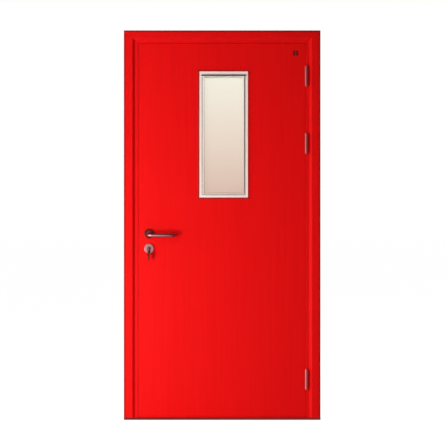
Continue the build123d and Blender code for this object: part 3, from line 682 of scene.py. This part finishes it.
bmesh.ops.transform(split_ring, matrix=turned, verts=split_ring.verts)
split_key_ring = finished("split_key_ring", split_ring)
put_on(split_key_ring, spare_metal, "key")
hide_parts("key_ring")
# Painted reflection: the roses' pink tint stands for the red door mirrored in them.
plating_dark = (0.45, 0.185, 0.19, 1)
plating_light = (0.56, 0.24, 0.245, 1)
plating = brushed_steel("bright_plate", plating_dark, plating_light, 0.3, 0.42, stretch=(300, 300, 300))
dress(plating, "cylinder_rose_front", "cylinder_rose_back")

# Hinges: three butt hinges of rolled steel plate with five knuckles and a fixed pin.
# The plates are let into the jamb and the leaf's edge, and the steel's red tint is a painted reflection of
# the red door.
# Painted reflection: the red tint of the hinge steel.
hinge_dark = (0.37, 0.082, 0.085, 1)
hinge_light = (0.46, 0.118, 0.12, 1)
hinge_head_height = 0.002
hinge_screw_shares = (-0.36, -0.12, 0.12, 0.36)
hinge_screw_columns = (-0.0148, 0.00104)
hinge_steel = brushed_steel("hinge_steel", hinge_dark, hinge_light, 0.42, 0.54, stretch=(700, 700, 60))
hinge_places = []
for hinge in hinge_names:
    dress(hinge_steel, f"{hinge}_hinge_frame_plate", f"{hinge}_hinge_leaf_plate", f"{hinge}_hinge_pin")
    plate_low, plate_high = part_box(f"{hinge}_hinge_frame_plate")
    for number, share in enumerate(hinge_screw_shares):
        row = (plate_low[2] + plate_high[2]) / 2 + share * (plate_high[2] - plate_low[2])
        hinge_places.append((hinge_screw_columns[number % 2], row))
hinge_head = (plate_screw_radius, hinge_head_height, plate_shank_radius, plate_screw_length)
jamb_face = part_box("hinge_frame_screws")[0][0]
jamb_places = [(jamb_face, column, row) for column, row in hinge_places]
cross_screws("jamb_cross_screws", "hinge_frame_screws", "frame", jamb_places, (-1, 0, 0), *hinge_head)
edge_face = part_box("hinge_leaf_screws")[1][0]
edge_places = [(edge_face, column, row) for column, row in hinge_places]
cross_screws("edge_cross_screws", "hinge_leaf_screws", "leaf", edge_places, (1, 0, 0), *hinge_head)

# Small plate near the top hinge corner: thin sheet, held by two rivets.
# It is dark red-brown, rubbed lighter in a strip down its middle.
tag_brown = (0.13, 0.001, 0.0015, 1)
tag_deep = (0.17, 0.002, 0.002, 1)
tag_rubbed = (0.28, 0.03, 0.03, 1)
tag_sheen = 0.15
tag_x = 0.397
rub_half = 0.003
rub_fade = 0.0045
rub_least = 0.6
tag_finish, tree, coat = new_finish("tag_finish")
rub = mottle(tree, scale=1, detail=4, stretch=(200, 200, 40))
down_middle = spread(tree, away_from(tree, axes_of(tree)["X"], tag_x), 1, 0, rub_half, rub_fade)
rubbed = combine(tree, "MULTIPLY", down_middle, spread(tree, rub, rub_least, 1))
base = two_tones(tree, rub, tag_brown, tag_deep)
tint(tree, coat, overlay(tree, rubbed, base, tag_rubbed))
vary_roughness(tree, coat, rub, smooth=0.45, rough=0.6)
coat.inputs["Specular IOR Level"].default_value = tag_sheen
dress(tag_finish, "tag_plate", "tag_rivets")

# Studio: a white floor and a white surround, with the camera level in front of the door.
# A tall and a low soft lamp stand on the left, and a weaker one stands behind on the right.
# Metal mirrors a dim room in front of the door, with one lighter band at eye level on the left.
floor_half = 60
floor_drop = 0.0004
floor_white = (0.9, 0.9, 0.9, 1)
floor_matt = 0.9
floor_glow = 1.8
floor_glow_share = 0.5


def blend(tree, share, first, second):
    mix = tree.nodes.new("ShaderNodeMixShader")
    tree.links.new(share, mix.inputs["Fac"])
    tree.links.new(first, mix.inputs[1])
    tree.links.new(second, mix.inputs[2])
    return mix.outputs["Shader"]


floor_grid = bmesh.new()
bmesh.ops.create_grid(floor_grid, x_segments=1, y_segments=1, size=floor_half)
bmesh.ops.translate(floor_grid, verts=floor_grid.verts, vec=(0, 0, -floor_drop))
floor = finished("studio_floor", floor_grid)
floor_finish, tree, coat = new_finish("studio_floor")
coat.inputs["Base Color"].default_value = floor_white
coat.inputs["Roughness"].default_value = floor_matt
coat.inputs["Specular IOR Level"].default_value = 0
glow = tree.nodes.new("ShaderNodeEmission")
glow.inputs["Strength"].default_value = floor_glow
ray = tree.nodes.new("ShaderNodeLightPath")
seen = combine(tree, "MAXIMUM", ray.outputs["Is Camera Ray"], ray.outputs["Is Glossy Ray"])
seen = combine(tree, "MAXIMUM", seen, ray.outputs["Is Transmission Ray"])
glowing = spread(tree, seen, 0, floor_glow_share, from_low=0, from_high=1)
surface = blend(tree, glowing, coat.outputs["BSDF"], glow.outputs["Emission"])
tree.links.new(surface, tree.nodes["Material Output"].inputs["Surface"])
floor.data.materials.append(floor_finish)

white = (1, 1, 1, 1)
ambient_strength = 0.21
backdrop_strength = 1
band_strength = 0.8
band_height = 0.12
band_half = 0.16
band_fade = 0.3
right_strength = 0.05
right_start = 0.05
right_end = 0.5
front_strength = 0.12
front_turn = 0.3
surround = bpy.data.worlds.new("studio_surround")
bpy.context.scene.world = surround
surround.use_nodes = True
tree = surround.node_tree
ambient = tree.nodes["Background"]
ambient.inputs["Strength"].default_value = ambient_strength
backdrop = tree.nodes.new("ShaderNodeBackground")
backdrop.inputs["Strength"].default_value = backdrop_strength
room = tree.nodes.new("ShaderNodeBackground")
for light in (ambient, backdrop, room):
    light.inputs["Color"].default_value = white
direction = tree.nodes.new("ShaderNodeTexCoord")
parts = tree.nodes.new("ShaderNodeSeparateXYZ")
tree.links.new(direction.outputs["Generated"], parts.inputs["Vector"])
band = spread(tree, away_from(tree, parts.outputs["Z"], band_height), band_strength, 0, band_half, band_fade)
leftward = spread(tree, parts.outputs["X"], 1, right_strength, right_start, right_end)
band = combine(tree, "MULTIPLY", band, leftward)
behind = spread(tree, parts.outputs["Y"], front_strength, 1, -front_turn, front_turn)
tree.links.new(combine(tree, "MAXIMUM", band, behind), room.inputs["Strength"])
ray = tree.nodes.new("ShaderNodeLightPath")
mirrored = ray.outputs["Is Glossy Ray"]
unseen = blend(tree, mirrored, ambient.outputs["Background"], room.outputs["Background"])
seen = combine(tree, "MAXIMUM", ray.outputs["Is Camera Ray"], ray.outputs["Is Transmission Ray"])
whole = blend(tree, seen, unseen, backdrop.outputs["Background"])
tree.links.new(whole, tree.nodes["World Output"].inputs["Surface"])


def soft_lamp(name, place, target, size, power):
    lamp_data = bpy.data.lights.new(name, "AREA")
    lamp_data.shape = "RECTANGLE"
    lamp_data.size, lamp_data.size_y = size
    lamp_data.energy = power
    lamp = bpy.data.objects.new(name, lamp_data)
    lamp.location = place
    lamp.rotation_euler = (Vector(target) - Vector(place)).to_track_quat("-Z", "Y").to_euler()
    bpy.context.scene.collection.objects.link(lamp)


soft_lamp("left_lamp", (-2.15, -2.1, 1.52), target=(0, 0, 1.52), size=(0.35, 2.9), power=44)
soft_lamp("back_lamp", (2.4, 2.8, 1.5), target=(0, 0, 1), size=(1, 1.6), power=22)
soft_lamp("low_left_lamp", (-2.0, -2.0, 0.3), target=(-0.1, 0, 0.3), size=(0.5, 0.5), power=41)

camera_data = bpy.data.cameras.new("front_camera")
camera_data.sensor_width = 36
camera_data.lens = 89.64
camera = bpy.data.objects.new("front_camera", camera_data)
camera.location = (0.0072, -6.038, 1.0587)
camera.rotation_euler = (math.pi / 2, 0, 0)
bpy.context.scene.collection.objects.link(camera)
bpy.context.scene.camera = camera
bpy.context.scene.view_settings.view_transform = "Standard"
